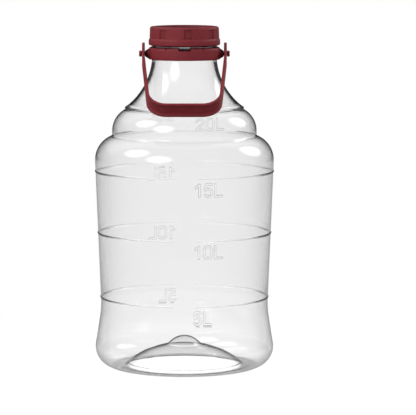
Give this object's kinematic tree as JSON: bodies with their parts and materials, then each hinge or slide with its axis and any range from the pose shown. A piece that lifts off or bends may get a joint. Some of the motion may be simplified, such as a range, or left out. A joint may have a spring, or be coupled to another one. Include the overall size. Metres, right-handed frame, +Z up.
{
  "type": "fermentation jar with screw cap and carrying bail",
  "caption": "Clear blown jar with stepped shoulders, raised volume lines, a threaded wide neck, a screw cap with a flush airlock valve, and a swinging carry handle on a collar.",
  "frame": {"origin": "centre of the foot ring, on the surface that the jar stands on", "axes": "+Z up along the jar's axis; -Y is the front, where the bail rests; the bail's pegs lie along X"},
  "size_m": [0.2707, 0.27, 0.515],
  "materials": {
    "clear_pet": "clear blown PET, glossy inside and out",
    "red_plastic": "moulded dark red polypropylene, satin",
    "grey_rubber": "soft grey gasket, matt",
    "red_silicone": "moulded dark red silicone, satin"
  },
  "bodies": {
    "jar": {"jar": "clear_pet"},
    "seal": {"cap_seal": "grey_rubber"},
    "cap": {"screw_cap": "red_plastic", "airlock_valve": "red_silicone"},
    "collar": {"handle_collar": "red_plastic"},
    "bail": {"bail_handle": "red_plastic"}
  },
  "joints": [
    {"name": "cap_rise", "type": "slide", "parent": "jar", "child": "seal", "axis": [0, 0, 1], "range_m": [0, 0.009]},
    {"name": "cap_turn", "type": "hinge", "parent": "seal", "child": "cap", "pos_m": [0, 0, 0.5095], "axis": [0, 0, 1], "range_deg": [0, 540]},
    {"name": "collar_swivel", "type": "hinge", "parent": "jar", "child": "collar", "pos_m": [0, 0, 0.4741], "axis": [0, 0, 1], "continuous": true},
    {"name": "bail_swing", "type": "hinge", "parent": "collar", "child": "bail", "pos_m": [0, 0, 0.4741], "axis": [-1, 0, 0], "range_deg": [0, 254.3]}
  ],
  "couplings": [
    {"joint": "cap_rise", "follows": "cap_turn", "m_per_rad": 0.00095493}
  ]
}
